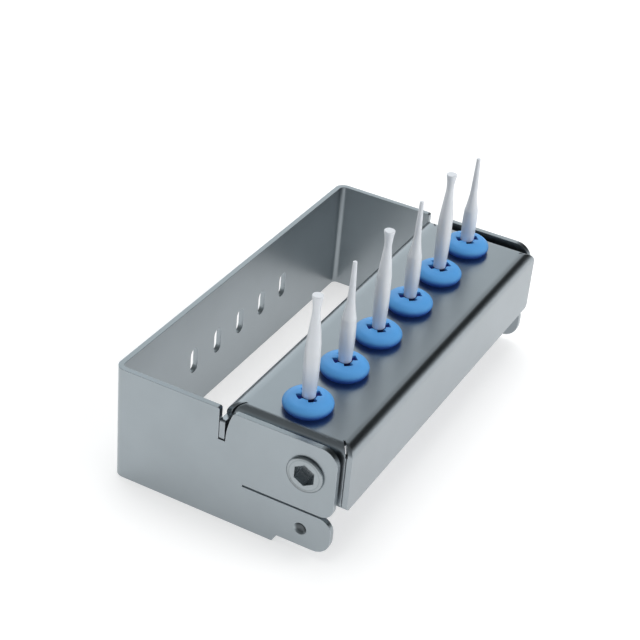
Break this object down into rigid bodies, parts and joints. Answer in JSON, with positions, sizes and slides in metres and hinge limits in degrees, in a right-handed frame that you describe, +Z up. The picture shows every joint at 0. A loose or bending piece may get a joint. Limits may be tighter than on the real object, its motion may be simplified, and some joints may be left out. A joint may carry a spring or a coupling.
{
  "type": "dental bur block",
  "caption": "Folded steel bur holder with silicone grommets and burs, swinging on two screws in a U-shaped steel bail frame with sprung latch fingers.",
  "frame": {"origin": "on the resting plane, under the middle of the whole part in X and Y", "axes": "+X along the pivot axis and the row of burs, +Z up along the burs, the block stands open towards -Y"},
  "size_m": [0.0566, 0.0308, 0.0306],
  "materials": {
    "frame_steel": "satin stainless steel",
    "block_steel": "satin stainless steel",
    "screw_steel": "turned stainless steel",
    "silicone": "smooth blue silicone",
    "bur_steel": "pale satin steel"
  },
  "bodies": {
    "frame": {"bail_frame": "frame_steel"},
    "block": {"bur_block": "block_steel", "grommet_1": "silicone", "grommet_2": "silicone", "grommet_3": "silicone", "grommet_4": "silicone", "grommet_5": "silicone", "grommet_6": "silicone", "bur_1": "bur_steel", "bur_2": "bur_steel", "bur_3": "bur_steel", "bur_4": "bur_steel", "bur_5": "bur_steel", "bur_6": "bur_steel", "pivot_screw_left": "screw_steel", "spacer_washer_left": "screw_steel", "pivot_nut_left": "screw_steel", "pivot_screw_right": "screw_steel", "spacer_washer_right": "screw_steel", "pivot_nut_right": "screw_steel"}
  },
  "joints": [
    {"name": "block_swing", "type": "hinge", "parent": "frame", "child": "block", "pos_m": [0, -0.0105, 0.0114], "axis": [1, 0, 0], "range_deg": [0, 270]}
  ]
}
